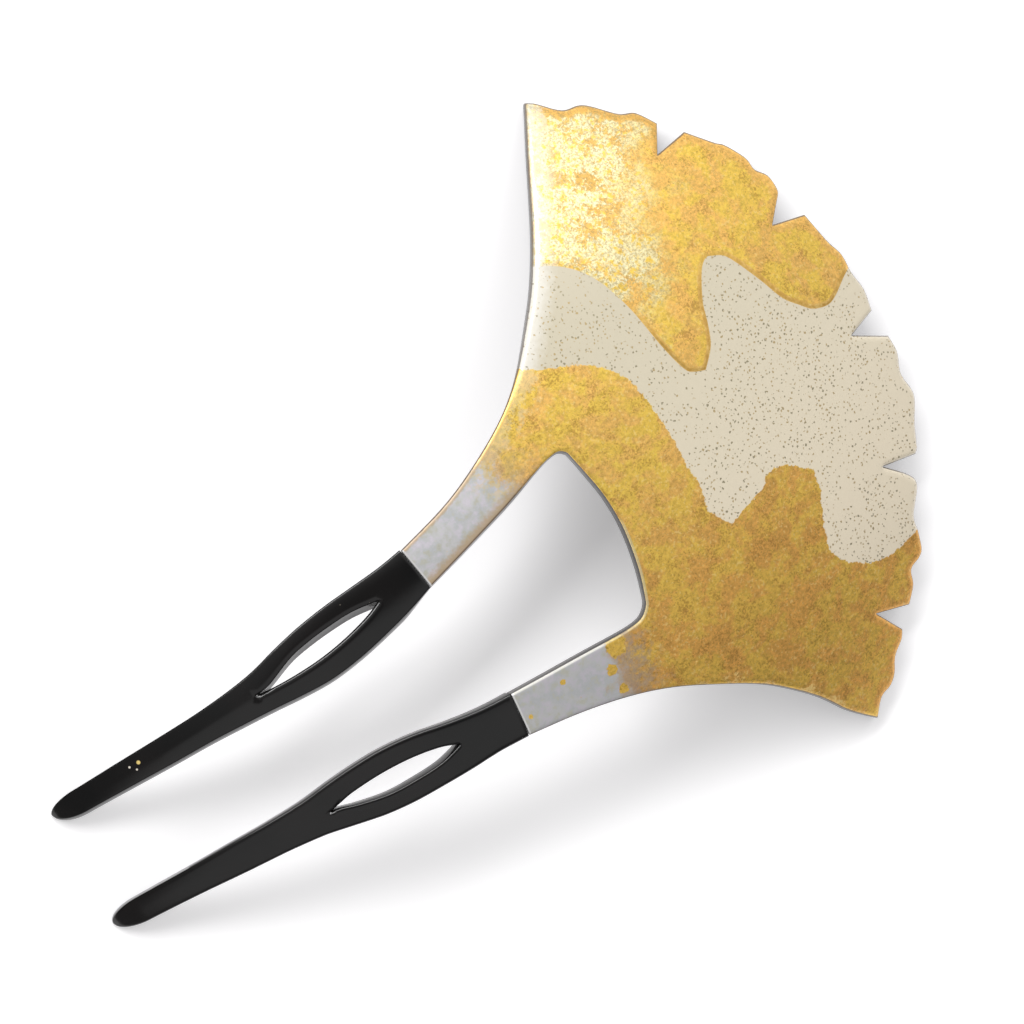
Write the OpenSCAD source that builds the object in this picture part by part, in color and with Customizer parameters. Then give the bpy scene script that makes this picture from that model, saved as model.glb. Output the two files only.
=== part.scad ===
// Two-pronged hair pin in the form of a ginkgo leaf.
// It lies on its prong tips and the two far corners of the leaf, with the arched side up.
// +X runs from the prong tips to the leaf, +Y is the left side, +Z is up.

/* [Arched sheet] */
// Height of the crown above the surface that the pin lies on
crown_h = 20.4; // [20.3:0.1:22]
// How far the crown lies towards the leaf from the middle
arch_x = 3; // [2:0.5:4]
// Radius of the arch along the pin, at the outer face
arch_r = 142; // [138:1:150]
// Radius of the arch across the pin, at the outer face
barrel_r = 101; // [100:1:110]
// How far the crown lies to the left of the middle
barrel_y = 1.3; // [0:0.1:2]
// Thickness of the leaf at the crown, which thins towards the rim
leaf_t = 3; // [2.4:0.1:3.4]
// How much flatter the inner face is, which sets the thinning
flatter = 4; // [0:0.5:6]

/* [Prongs] */
// Where the prongs meet the leaf's arms, along X
joint_x = -8.6; // [-10:0.1:-7]
// End of the left prong, along X
tip_left = -65.3; // [-66.6:0.1:-64]
// End of the right prong, along X
tip_right = -66.9; // [-66.9:0.1:-64]
// Gap left between an arm and its prong
joint_gap = 0.15; // [0.05:0.05:0.3]
// Thickness of a prong at the joint
prong_t = 3.2; // [2.6:0.1:3.6]
// Thickness of a prong near its tip
tip_t = 2.3; // [2:0.1:3]
// How much further down the shorter left prong bends at its tip
left_bend = 1.1; // [0:0.1:1.2]
// Length of the blunt round tip
tip_len = 4; // [2:0.5:6]

/* [Hidden] */

GOLD = [0.80, 0.62, 0.28];
BLACK = [0.07, 0.07, 0.07];

// Length that clears the whole pin, and a depth that clears its lowest point
reach = 90;
depth = 5;
// Turn of each arched body about its own axis, centred on the crown
sweep_a = 80;
// Steps in each span of a smooth outline, rings along a prong and sides of a ring
span_steps = 4;
rings = 44;
sides = 16;
// Squareness of a prong's section, from 1 for an ellipse down to 0 for a rectangle
side_round = 0.72;
// Squared share of the section at the very tip, and how far the rings crowd towards it
tip_flat = 0.004;
ring_crowd = 1.5;
// How quickly the rings straighten up from the slanted joint
slant_fade = 8;

// Joints, square to the arms: outer corner, then inner corner, as x, y
JOINT_LEFT = [[joint_x - 0.6, 13.4], [joint_x - 0.1, 7.2]];
JOINT_RIGHT = [[joint_x, -17.5], [joint_x + 0.8, -11.2]];

// Left side edge of the leaf, from the joint along the arm to the far corner: x, y
LEFT_EDGE = [
    JOINT_LEFT[0], [-1.2, 14.9], [5.4, 17], [11.9, 19.8], [17.3, 23.2], [22.1, 27.2],
    [26.1, 30.9], [30.7, 36.1], [36.8, 43.8], [41.7, 49.5]
];
// Six lobes from left to right. Each starts on the rim and ends on the rim, between notches: x, y
LOBES = [
    [[41.7, 49.5], [42.9, 48.6], [45.3, 45.9], [48.3, 44.7], [51.5, 41.1], [53.7, 39.7], [55.3, 36.9]],
    [[57.8, 33.8], [60.5, 30.2], [61.6, 29], [63, 26], [63.1, 24], [64.2, 22.2], [64.1, 19.9], [63, 18.9]],
    [[65.3, 15], [65.9, 10.3], [66.6, 7.6], [66.4, 4.8], [66.6, 1.7], [65.8, -1.3]],
    [[65.9, -5.6], [65.8, -8.2], [64.5, -11], [64.6, -14.6], [62.4, -17.8], [60.8, -20.7], [60, -21.4]],
    [[56.8, -22.1], [58, -24.8], [55.1, -28.2], [54.5, -30.5], [53.7, -33.1], [52.6, -33.9], [50.7, -34.4],
     [49.9, -36.5], [47.9, -38.5]],
    [[45.2, -40.8], [44.4, -42], [42.4, -43.4], [41.1, -45.6], [39.7, -46.7], [37.7, -47.2], [35.8, -49.5]]
];
// Bottoms of the five notches between the lobes: x, y
NOTCHES = [[52.4, 33.8], [60.2, 16.9], [60.9, -1.9], [54.4, -19.3], [42.6, -35.9]];
// Right side edge of the leaf, from the far corner back to the joint: x, y
RIGHT_EDGE = [
    [35.8, -49.5], [32.3, -45.2], [29.3, -40.3], [25.9, -36], [22.5, -32.5], [17.1, -28.3],
    [11.4, -24.4], [5.5, -21.5], [-1.3, -19.2], JOINT_RIGHT[0]
];
// The fork between the arms, from the right arm's joint round to the left arm's: x, y
FORK_RIGHT = [
    JOINT_RIGHT[1], [-2.3, -11.9], [3, -12.6], [9.2, -13.5], [12.1, -13.6], [13.5, -13], [14.3, -12.1]
];
FORK_WALL = [[14.3, -12.1], [15.9, -7.8], [17.2, -2], [17.5, 3.2], [17, 8], [16.6, 10.8]];
FORK_LEFT = [[16.6, 10.8], [15.9, 11.6], [14.7, 11.8], [12.2, 11.5], [6, 10.1], [0.5, 9], JOINT_LEFT[1]];

// Sections along the prongs: x, then y of the left prong's outer and inner side,
// then y of the right prong's inner and outer side
PRONG_X = 0;
LEFT_OUT = 1;
LEFT_IN = 2;
RIGHT_IN = 3;
RIGHT_OUT = 4;
SECTIONS = [
    [-67, 9.7, 6.3, -7.1, -10.7],
    [-61, 9.8, 6.4, -7.1, -10.9],
    [-55, 10, 6.3, -7.2, -11.3],
    [-49, 10.1, 6.1, -7.3, -11.9],
    [-43, 10.2, 5.9, -7.5, -12.5],
    [-38, 10.5, 5.5, -7.5, -13.3],
    [-34, 11, 5.1, -7.2, -14.4],
    [-30, 11.9, 4.6, -7.1, -15.5],
    [-26, 12.6, 4.3, -7.3, -16.2],
    [-21.5, 13, 4.6, -8.1, -16.6],
    [-17, 13.1, 5.3, -9.4, -16.9],
    [-12.5, 13.2, 6.2, -10.5, -17.1],
    [-7.5, 13.6, 7.4, -11.2, -17.7]
];
// Almond eyes: from the pointed end near the tip, along the outer side and back along the inner one: x, y
EYE_LEFT = [
    [[-34.9, 7.9], [-33, 8.3], [-29, 9.7], [-26, 10.2], [-22.5, 10.4], [-19, 10.3], [-15.4, 9.6]],
    [[-15.4, 9.6], [-18, 8.7], [-22, 7.9], [-26, 7.5], [-30, 7.5], [-33, 7.7], [-34.9, 7.9]]
];
EYE_RIGHT = [
    [[-35.7, -10.9], [-34.4, -11.2], [-32.3, -12], [-28.5, -13.1], [-25, -13.5], [-20.5, -13.6],
     [-17, -12.9]],
    [[-17, -12.9], [-19.5, -11.7], [-23.4, -10.7], [-27.7, -10.2], [-32, -10.2], [-34.1, -10.5],
     [-35.7, -10.9]]
];

// Fall of the outer face from its crown line, across the pin
function barrel_drop(y) = barrel_r - sqrt(pow(barrel_r, 2) - pow(y - barrel_y, 2));

// Height of the outer face
function top_z(x, y) = crown_h - arch_r + sqrt(pow(arch_r - barrel_drop(y), 2) - pow(x - arch_x, 2));

// One point of the smooth curve through four points, between the second and the third
function bend(a, b, c, d, t) =
    0.5 * (2 * b + (c - a) * t + (2 * a - 5 * b + 4 * c - d) * pow(t, 2)
        + (3 * b - a - 3 * c + d) * pow(t, 3));

// Smooth curve through a row of points, with its last point left out
function smooth(p) = [
    for (i = [0 : len(p) - 2], k = [0 : span_steps - 1])
        bend(p[max(i - 1, 0)], p[i], p[i + 1], p[min(i + 2, len(p) - 1)], k / span_steps)
];

// Smooth curve with its last point
function smooth_to_end(p) = concat(smooth(p), [p[len(p) - 1]]);

// Value of one column of SECTIONS at x, smooth between its rows
function side_y(x, column) =
    let(n = len(SECTIONS) - 1)
    let(i = min(max([for (k = [0 : n]) if (SECTIONS[k][PRONG_X] <= x) k]), n - 1))
    let(t = (x - SECTIONS[i][PRONG_X]) / (SECTIONS[i + 1][PRONG_X] - SECTIONS[i][PRONG_X]))
    bend(SECTIONS[max(i - 1, 0)], SECTIONS[i], SECTIONS[i + 1], SECTIONS[min(i + 2, n)], t)[column];

// Share of the full section that the round tip leaves at x
function tip_share(x, tip) = sqrt(max(1 - pow(1 - min((x - tip) / tip_len, 1), 2), tip_flat));

// Place of ring number k, closer together at the tip
function ring_x(k, tip, joint) =
    let(end = (joint[0][0] + joint[1][0]) / 2 - joint_gap)
    tip + (end - tip) * pow(k / (rings - 1), ring_crowd);

// Slant of ring number k, in X for each step in Y
function ring_slant(k, joint) =
    (joint[0][0] - joint[1][0]) / (joint[0][1] - joint[1][1]) * pow(k / (rings - 1), slant_fade);

// Power that keeps its sign
function bulge(v) = sign(v) * pow(abs(v), side_round);

// One ring of a prong, following the outer face
function ring(x, slant, outer, inner, tip, extra_bend) =
    let(middle = (side_y(x, outer) + side_y(x, inner)) / 2)
    let(half_w = abs(side_y(x, outer) - side_y(x, inner)) / 2 * tip_share(x, tip))
    let(thick = tip_t + (prong_t - tip_t) * (x - tip) / (joint_x - tip))
    let(half_t = thick / 2 * tip_share(x, tip))
    let(drop = thick / 2 + extra_bend * pow((joint_x - x) / (joint_x - tip), 2))
    [for (k = [0 : sides - 1])
        let(a = 360 * k / sides)
        let(off = half_w * bulge(cos(a)))
        let(px = x + slant * off, py = middle + off)
        [px, py, top_z(px, py) - drop + half_t * bulge(sin(a))]];

// Solid skinned over a row of rings
module skinned(rows) {
    n = len(rows[0]);
    last = (len(rows) - 1) * n;
    polyhedron(
        points = [for (r = rows, p = r) p],
        faces = concat(
            [[for (k = [0 : n - 1]) k]],
            [for (i = [0 : len(rows) - 2], k = [0 : n - 1])
                let(a = i * n + k, b = i * n + (k + 1) % n)
                each [[a, a + n, b], [b, a + n, b + n]]],
            [[for (k = [n - 1 : -1 : 0]) last + k]]
        )
    );
}

// Straight up from an outline, past the lowest and the highest point of the pin
module upright() {
    translate([0, 0, -depth])
        linear_extrude(height = crown_h + 2 * depth) children();
}

// Everything under an arched face whose crown line is at height top
module arched_body(top, along, across) {
    translate([arch_x, 0, top - along])
        rotate([90, 0, 0])
            rotate_extrude(angle = sweep_a, start = 90 - sweep_a / 2, $fn = 96)
                intersection() {
                    translate([along - across, -barrel_y])
                        circle(r = across, $fn = 96);
                    translate([along / 2, -reach])
                        square([along, 2 * reach]);
                }
}

// Outline of the leaf with its two arms
module leaf_outline() {
    rim = [
        for (i = [0 : len(LOBES) - 1])
            each i < len(NOTCHES) ? concat(smooth_to_end(LOBES[i]), [NOTCHES[i]]) : smooth(LOBES[i])
    ];
    polygon(concat(
        smooth(LEFT_EDGE),
        rim,
        smooth_to_end(RIGHT_EDGE),
        smooth(FORK_RIGHT),
        smooth(FORK_WALL),
        smooth_to_end(FORK_LEFT)
    ));
}

// One prong with its eye cut through
module prong(outer, inner, tip, joint, extra_bend, eye) {
    difference() {
        skinned([
            for (k = [0 : rings - 1])
                ring(ring_x(k, tip, joint), ring_slant(k, joint), outer, inner, tip, extra_bend)
        ]);
        upright() polygon(concat(smooth(eye[0]), smooth(eye[1])));
    }
}

module leaf() {
    color(GOLD)
        difference() {
            intersection() {
                upright() leaf_outline();
                arched_body(crown_h, arch_r, barrel_r);
            }
            arched_body(crown_h - leaf_t, arch_r + flatter, barrel_r + flatter);
        }
}

module prong_left() {
    color(BLACK) prong(LEFT_OUT, LEFT_IN, tip_left, JOINT_LEFT, left_bend, EYE_LEFT);
}

module prong_right() {
    color(BLACK) prong(RIGHT_OUT, RIGHT_IN, tip_right, JOINT_RIGHT, 0, EYE_RIGHT);
}

leaf();
prong_left();
prong_right();
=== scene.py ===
"""Looks of a lacquered hair pin in the form of a ginkgo leaf, in metres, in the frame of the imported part."""
import math

import bmesh
import bpy
import numpy as np
from mathutils import Matrix, Vector, geometry


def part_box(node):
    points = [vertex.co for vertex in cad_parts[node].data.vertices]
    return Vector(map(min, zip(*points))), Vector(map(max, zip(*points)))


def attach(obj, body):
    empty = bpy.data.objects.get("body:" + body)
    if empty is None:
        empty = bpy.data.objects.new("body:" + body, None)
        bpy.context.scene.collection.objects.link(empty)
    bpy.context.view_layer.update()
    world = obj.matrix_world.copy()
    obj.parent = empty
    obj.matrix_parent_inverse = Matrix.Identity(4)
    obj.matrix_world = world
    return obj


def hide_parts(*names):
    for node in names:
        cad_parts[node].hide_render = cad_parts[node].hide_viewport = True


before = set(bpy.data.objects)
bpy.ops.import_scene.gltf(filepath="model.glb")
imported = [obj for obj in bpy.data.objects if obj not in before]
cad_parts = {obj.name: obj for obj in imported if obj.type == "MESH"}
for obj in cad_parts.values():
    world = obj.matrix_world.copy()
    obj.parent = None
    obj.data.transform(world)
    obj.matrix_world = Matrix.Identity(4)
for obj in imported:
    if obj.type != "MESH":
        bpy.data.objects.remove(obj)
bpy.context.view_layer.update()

MM = 0.001

# Arched sheet that the pin is cut from, in mm: its crown and the radii of its outer face
CROWN_H = 20.4
CROWN_X = 3.0
CROWN_Y = 1.3
ARCH_R = 142.0
BARREL_R = 101.0
# Its thickness, and how much larger the radii are underneath
LEAF_T = 3.0
FLATTER = 4.0

# Prongs and their joints with the arms, in mm
JOINT_X = -8.6
JOINTS = (((-9.2, 13.4), (-8.7, 7.2)), ((-8.6, -17.5), (-7.8, -11.2)))
PRONG_T = 3.2
TIP_T = 2.3
TIP_LEN = 4.0
TIP_BEND = {"prong_left": 1.1, "prong_right": 0.0}

# Camera, in mm: where it stands, what it looks at and its upward direction
CAMERA_EYE = Vector((-113.4, 158.1, 672.9))
CAMERA_AIM = Vector((7.6, 6.7, 10.0))
CAMERA_UP = Vector((0.5800, 0.8108, -0.0792))
# Size of the photograph and focal length in pixels, width of the sensor and end of the view in mm
PHOTO_SIZE = 1024
FOCAL_PX = 5153.0
SENSOR = 36.0
CAMERA_FAR = 20000.0

# Outer face, in pixels of the photograph: borders of the gold and cream fields, from left to right
UPPER_BORDER = [
    (532, 267), (553, 266), (578, 271), (601, 283), (630, 309), (662, 347), (684, 369), (694, 372),
    (706, 370), (711, 346), (708, 323), (703, 301), (702, 271), (706, 258), (713, 256), (724, 256),
    (738, 264), (761, 281), (782, 298), (799, 305), (813, 309), (828, 305), (836, 295), (843, 279),
    (848, 269),
]
LOWER_BORDER = [
    (517, 370), (549, 369), (578, 365), (599, 367), (627, 379), (647, 401), (664, 424), (679, 450),
    (689, 469), (694, 476), (704, 494), (708, 511), (721, 518), (732, 524), (742, 512), (762, 488),
    (768, 474), (783, 465), (813, 469), (819, 486), (822, 507), (825, 530), (834, 555), (859, 563),
    (884, 559), (903, 544), (917, 530),
]
# Ways round the outside of the leaf that close the two gold fields
ROUND_TOP = [(880, 250), (930, 150), (900, 30), (470, 30), (490, 267)]
ROUND_BOTTOM = [(950, 505), (980, 800), (300, 850), (300, 450), (470, 371)]
# Silver ends of the two arms, closed round the outside
SILVER = [
    (450, 440), (474, 462), (487, 470), (500, 480), (520, 490), (548, 520), (560, 590), (590, 630),
    (606, 643), (612, 655), (620, 668), (615, 682), (627, 692), (650, 740), (500, 850), (300, 520),
]

# Rounds that bring a ray of the photograph down to the face, points worked on at once, and a tiny length
ROUNDS = 40
AT_ONCE = 1500
TINY = 1e-9


def face_z(x, y, depth=0.0, flatter=0.0):
    """Height of an arched face that lies depth under the crown, in mm."""
    arch = ARCH_R + flatter
    barrel = BARREL_R + flatter
    fall = barrel - np.sqrt(barrel ** 2 - (y - CROWN_Y) ** 2)
    return CROWN_H - depth - arch + np.sqrt((arch - fall) ** 2 - (x - CROWN_X) ** 2)


def camera_axes():
    """Right, up and forward directions of the camera."""
    forward = (CAMERA_AIM - CAMERA_EYE).normalized()
    right = forward.cross(CAMERA_UP).normalized()
    return right, right.cross(forward), forward


def on_face(pixels):
    """Points of the outer face that pixels of the photograph show: x, y in mm."""
    right, up, forward = camera_axes()
    found = []
    for across, down in pixels:
        ray = forward * FOCAL_PX + right * (across - PHOTO_SIZE / 2) - up * (down - PHOTO_SIZE / 2)
        height = 0.0
        for _ in range(ROUNDS):
            point = CAMERA_EYE + ray * ((height - CAMERA_EYE.z) / ray.z)
            height = 0.5 * height + 0.5 * float(face_z(point.x, point.y))
        found.append((point.x, point.y))
    return np.array(found)


def smooth_step(low, high, value):
    """Smooth rise from 0 at low to 1 at high."""
    t = np.clip((value - low) / (high - low), 0, 1)
    return t * t * (3 - 2 * t)


# Reading the rims: welding distance in metres, least upward look of a face, and smallest loop in square mm
WELD = 2e-6
LOOKS_UP = 0.03
LEAST_AREA = 5.0
# How little a point strays from a straight line, how close two points come, in mm, and the turn of a corner
STRAIGHT = 0.003
CLOSE = 0.03
CORNER = math.radians(28)


def area(loop):
    """Signed area of a closed outline, positive when it runs counterclockwise."""
    following = np.roll(loop, -1, axis=0)
    return 0.5 * float(np.sum(loop[:, 0] * following[:, 1] - following[:, 0] * loop[:, 1]))


def without_straight_points(loop):
    """The outline without the points that lie on the line between their neighbours."""
    kept = list(loop)
    i = 0
    while i < len(kept):
        a, b, c = kept[i - 1], kept[i], kept[(i + 1) % len(kept)]
        chord = c - a
        length = np.hypot(*chord)
        offset = abs(chord[0] * (b - a)[1] - chord[1] * (b - a)[0]) / max(length, TINY)
        if offset < STRAIGHT or np.hypot(*(b - a)) < CLOSE:
            kept.pop(i)
        else:
            i += 1
    return np.array(kept)


def rims_from_above(name):
    """Closed outlines of a node's faces that look up: x, y in mm, with material on their left."""
    work = bmesh.new()
    work.from_mesh(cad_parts[name].data)
    bmesh.ops.remove_doubles(work, verts=work.verts, dist=WELD)
    work.normal_update()
    work.verts.index_update()
    places = [vert.co / MM for vert in work.verts]
    border = {}
    for edge in work.edges:
        looks = [face.normal.z > LOOKS_UP for face in edge.link_faces]
        if len(looks) == 2 and looks[0] != looks[1]:
            a, b = (vert.index for vert in edge.verts)
            border.setdefault(a, []).append(b)
            border.setdefault(b, []).append(a)
    work.free()
    loops = []
    for start in list(border):
        loop = []
        here = start
        while border[here]:
            loop.append(places[here].xy)
            following = border[here].pop()
            border[following].remove(here)
            here = following
        if len(loop) > 2:
            loop = np.array(loop)
            if abs(area(loop)) > LEAST_AREA:
                loops.append(without_straight_points(loop))
    loops.sort(key=lambda loop: -abs(area(loop)))
    turned = [loops[0] if area(loops[0]) > 0 else loops[0][::-1]]
    turned += [loop if area(loop) < 0 else loop[::-1] for loop in loops[1:]]
    return turned


def bend(a, b, c, d, t):
    """Point of the smooth curve through four points, between the second and the third."""
    square = 2 * a - 5 * b + 4 * c - d
    cube = 3 * b - a - 3 * c + d
    return 0.5 * (2 * b + (c - a) * t + square * t ** 2 + cube * t ** 3)


def smooth_line(points, step, closed=True, corner=CORNER):
    """A curve through the points, with a point every step or so, that stays sharp at its corners."""
    n = len(points)
    before = points - np.roll(points, 1, axis=0)
    after = np.roll(points, -1, axis=0) - points
    turn = np.arctan2(before[:, 0] * after[:, 1] - before[:, 1] * after[:, 0], np.sum(before * after, axis=1))
    sharp = np.abs(turn) > corner
    if not closed:
        sharp[[0, -1]] = True
    line = []
    for i in range(n if closed else n - 1):
        b, c = points[i], points[(i + 1) % n]
        a = b if sharp[i] else points[i - 1]
        d = c if sharp[(i + 1) % n] else points[(i + 2) % n]
        count = max(1, math.ceil(np.hypot(*(c - b)) / step))
        line += [bend(a, b, c, d, k / count) for k in range(count)]
    if not closed:
        line.append(points[-1])
    return np.array(line)


def segments(loops):
    """Starts and ends of all sides of closed outlines."""
    starts = np.concatenate(loops)
    ends = np.concatenate([np.roll(loop, -1, axis=0) for loop in loops])
    return starts, ends


def distance(points, starts, ends):
    """Distance of each point from the nearest segment."""
    along = ends - starts
    length2 = np.maximum(np.sum(along ** 2, axis=1), TINY)
    nearest = []
    for some in np.array_split(points, max(1, len(points) // AT_ONCE)):
        offset = some[:, None, :] - starts[None, :, :]
        t = np.clip(np.sum(offset * along, axis=2) / length2, 0, 1)
        gap = offset - t[:, :, None] * along
        nearest.append(np.sqrt(np.min(np.sum(gap ** 2, axis=2), axis=1)))
    return np.concatenate(nearest)


def inside(points, starts, ends):
    """Whether each point lies inside closed outlines, and outside their holes."""
    answer = []
    for some in np.array_split(points, max(1, len(points) // AT_ONCE)):
        x, y = some[:, None, 0], some[:, None, 1]
        spans = (starts[:, 1] > y) != (ends[:, 1] > y)
        rise = np.where(ends[:, 1] == starts[:, 1], TINY, ends[:, 1] - starts[:, 1])
        cross = starts[:, 0] + (y - starts[:, 1]) * (ends[:, 0] - starts[:, 0]) / rise
        answer.append(np.sum(spans & (x < cross), axis=1) % 2 == 1)
    return np.concatenate(answer)


def signed_distance(points, loop):
    """Distance from a closed outline, positive inside it."""
    starts, ends = segments([loop])
    return np.where(inside(points, starts, ends), 1, -1) * distance(points, starts, ends)


def left_normals(line, closed=True):
    """Unit directions to the left of a line at each of its points."""
    if closed:
        along = np.roll(line, -1, axis=0) - np.roll(line, 1, axis=0)
    else:
        along = np.gradient(line, axis=0)
    along /= np.maximum(np.hypot(along[:, 0], along[:, 1]), TINY)[:, None]
    return np.stack([-along[:, 1], along[:, 0]], axis=1)


# Turn between faces that makes an edge sharp
SHARP = math.radians(40)
# How near the line of a joint a side has to lie, in mm, and how far it may turn from it
JOINT_NEAR = 0.35
JOINT_TURN = 0.35


def along_joint(starts, ends):
    """Which sides of an outline lie along a joint between an arm and its prong."""
    along = ends - starts
    along = along / np.maximum(np.hypot(along[:, 0], along[:, 1]), TINY)[:, None]
    found = np.zeros(len(starts), bool)
    for outer, inner in JOINTS:
        across = np.subtract(inner, outer)
        width = np.hypot(*across)
        across = across / width
        offset = (starts + ends) / 2 - outer
        reach = offset @ across
        beside = np.abs(across[0] * offset[:, 1] - across[1] * offset[:, 0])
        turned = np.abs(across[0] * along[:, 1] - across[1] * along[:, 0])
        close = (beside < JOINT_NEAR) & (turned < JOINT_TURN)
        found |= close & (reach > -JOINT_NEAR) & (reach < width + JOINT_NEAR)
    return found


# Share of its distance from the rim that each point of a row keeps
ROW_KEEPS = 0.985
# Space that the grid leaves at the last row and round extra points, in grid steps, and theirs, in second rows
GRID_INSIDE = 0.6
GRID_ROUND = 0.5
EXTRA_INSIDE = 1.2
# Distance in mm at which points of the mesh become one
MERGE = 1e-6


class Sheet:
    """Flat triangle mesh of an outline, in mm."""

    def __init__(self, rims, step, edge_rows, grid, extra=()):
        self.loops = [smooth_line(rim, step) for rim in rims]
        self.starts, self.ends = segments(self.loops)
        self.joint = along_joint(self.starts, self.ends)
        points = list(np.concatenate(self.loops))
        for row in edge_rows:
            moved = np.concatenate([loop + left_normals(loop) * row for loop in self.loops])
            clear = distance(moved, self.starts, self.ends) > ROW_KEEPS * row
            points += list(moved[clear & inside(moved, self.starts, self.ends)])
        low, high = self.loops[0].min(axis=0), self.loops[0].max(axis=0)
        rows = np.arange(low[1], high[1], grid * math.sqrt(0.75))
        columns = np.arange(low[0], high[0], grid)
        inner = np.array([(x + (k % 2) * grid / 2, y) for k, y in enumerate(rows) for x in columns])
        inner = inner[inside(inner, self.starts, self.ends)]
        inner = inner[distance(inner, self.starts, self.ends) > edge_rows[-1] + GRID_INSIDE * grid]
        if len(extra):
            extra = extra[inside(extra, self.starts, self.ends)]
            extra = extra[distance(extra, self.starts, self.ends) > EXTRA_INSIDE * edge_rows[1]]
            near = np.array([np.min(np.hypot(*(extra - p).T)) for p in inner])
            inner = np.concatenate([inner[near > GRID_ROUND * grid], extra])
        points += list(inner)
        sides = []
        first = 0
        for loop in self.loops:
            n = len(loop)
            sides += [(first + k, first + (k + 1) % n) for k in range(n)]
            first += n
        made = geometry.delaunay_2d_cdt([Vector(p) for p in points], sides, [], 0, MERGE)
        self.xy = np.array([tuple(v) for v in made[0]])
        place = {given: k for k, several in enumerate(made[3]) for given in several}
        self.sides = [(place[a], place[b]) for a, b in sides]
        triangles = np.array([face for face in made[2] if len(face) == 3])
        centres = self.xy[triangles].mean(axis=1)
        triangles = triangles[inside(centres, self.starts, self.ends)]
        a, b, c = (self.xy[triangles[:, k]] for k in range(3))
        turned = (b - a)[:, 0] * (c - a)[:, 1] - (b - a)[:, 1] * (c - a)[:, 0] < 0
        triangles[turned] = triangles[turned][:, ::-1]
        self.triangles = triangles

    def reach(self, chosen):
        """Distance of each point from the chosen sides of the outline."""
        return distance(self.xy, self.starts[chosen], self.ends[chosen])


def solid(name, sheet, top, bottom, marks=None):
    """Mesh object between a top and a bottom height of each point, with leaning sides, all in mm."""
    n = len(sheet.xy)
    x, y = sheet.xy.T
    low_xy = sheet.xy + lean(x, y) * np.maximum(top(x, y) - bottom(x, y) - LEAN_FROM, 0)[:, None]
    upper = np.column_stack([sheet.xy, top(x, y)])
    lower = np.column_stack([low_xy, bottom(low_xy[:, 0], low_xy[:, 1])])
    faces = [tuple(t) for t in sheet.triangles]
    tops = len(faces)
    faces += [(a, a + n, b + n, b) for a, b in sheet.sides]
    faces += [tuple(t[::-1] + n) for t in sheet.triangles]
    mesh = bpy.data.meshes.new(name)
    mesh.from_pydata((np.concatenate([upper, lower]) * MM).tolist(), [], [tuple(map(int, f)) for f in faces])
    mesh.validate()
    mesh.shade_smooth()
    mesh.set_sharp_from_angle(angle=SHARP)
    mesh.polygons.foreach_set("material_index", [0] * tops + [1] * (len(mesh.polygons) - tops))
    for mark, values in (marks or {}).items():
        data = mesh.attributes.new(mark, "FLOAT", "POINT").data
        data.foreach_set("value", np.concatenate([values, values]).astype(np.float32))
    piece = bpy.data.objects.new(name, mesh)
    bpy.context.scene.collection.objects.link(piece)
    return piece


def edge_fall(rim, width, depth):
    """How far a rounded edge falls away at a distance from the rim."""
    t = 1 - np.clip(rim / width, 0, 1)
    return depth * (1 - np.sqrt(np.maximum(1 - t ** 2, 0)))


# Lean of the sides for each mm of height: everywhere, along the arms, along the left prong, at the fork's end
SIDE_LEAN = -0.235
ARM_LEAN = -0.018
ARM_END = (5.0, 25.0)
PRONG_LEAN = -0.13
PRONG_END = (-14.0, -9.0)
FORK_LEAN = -0.05
FORK_END_X = (9.0, 14.0, 20.0, 26.0)
FORK_END_Y = (-12.0, -8.0, 5.0, 10.0)
LEAN_FROM = 0.3


def lean(x, y):
    """Shift of the sides for each mm below the rim."""
    arms = 1 - smooth_step(*ARM_END, x)
    fork = smooth_step(*FORK_END_X[:2], x) - smooth_step(*FORK_END_X[2:], x)
    fork = fork * (smooth_step(*FORK_END_Y[:2], y) - smooth_step(*FORK_END_Y[2:], y))
    left_prong = (1 - smooth_step(*PRONG_END, x)) * (y > 0)
    return np.column_stack([FORK_LEAN * fork, SIDE_LEAN + ARM_LEAN * y * arms + PRONG_LEAN * left_prong])


# Rounding of the leaf's edges, in mm: how far in from the rim, and how far down
LOBE_EDGE = (0.8, 0.5)
WING_EDGE = (1.15, 0.75)
FORK_EDGE = (0.4, 0.27)
ARM_EDGE = (0.5, 0.22)
UNDER_EDGE = (0.6, 0.45)
JOINT_EDGE = (0.24, 0.1)
# Where the left side edge, the arms and the fork run, in mm
WING_X = (30.0, 40.0)
WING_Y = (4.0, 9.0)
ARM_X = (12.0, 21.0)
FORK_X = 24.0
FORK_Y = (-14.2, 12.2)
# Outer sides of the leaf: how far their outlines reach in x, which way they face, and how truly
LEFT_SIDE = (44.0, (-0.81, 0.58), 0.6)
RIGHT_SIDE = (37.0, (-0.59, -0.81), 0.8)
# Height of the upper gold field over the cream one, width of its sloping edge, and the mesh's rows along it
RELIEF = 0.16
RELIEF_W = 0.55
RELIEF_ROWS = (-0.12, 0.0, 0.18, 0.36, RELIEF_W, 0.8)
# Where that height grows less towards the left, and by how much
RELIEF_Y = (12.0, 24.0)
RELIEF_FADE = 0.8
# Lines of the fields' borders: distance between their points, and the turns that count as corners
BORDER_STEP = 0.45
UPPER_CORNER = math.radians(60)
LOWER_CORNER = math.radians(50)
# How far from its line each kind of mark on the leaf still counts, in mm
RIM_REACH = 8.0
GOLD_REACH = 6.0
SILVER_REACH = 12.0
# Mesh of the leaf, in mm: step along the rim, rows inside it, and step of the grid
LEAF_MESH = {"step": 0.33, "edge_rows": (0.07, 0.25, 0.5, 0.76, 1.04), "grid": 0.85}


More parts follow.
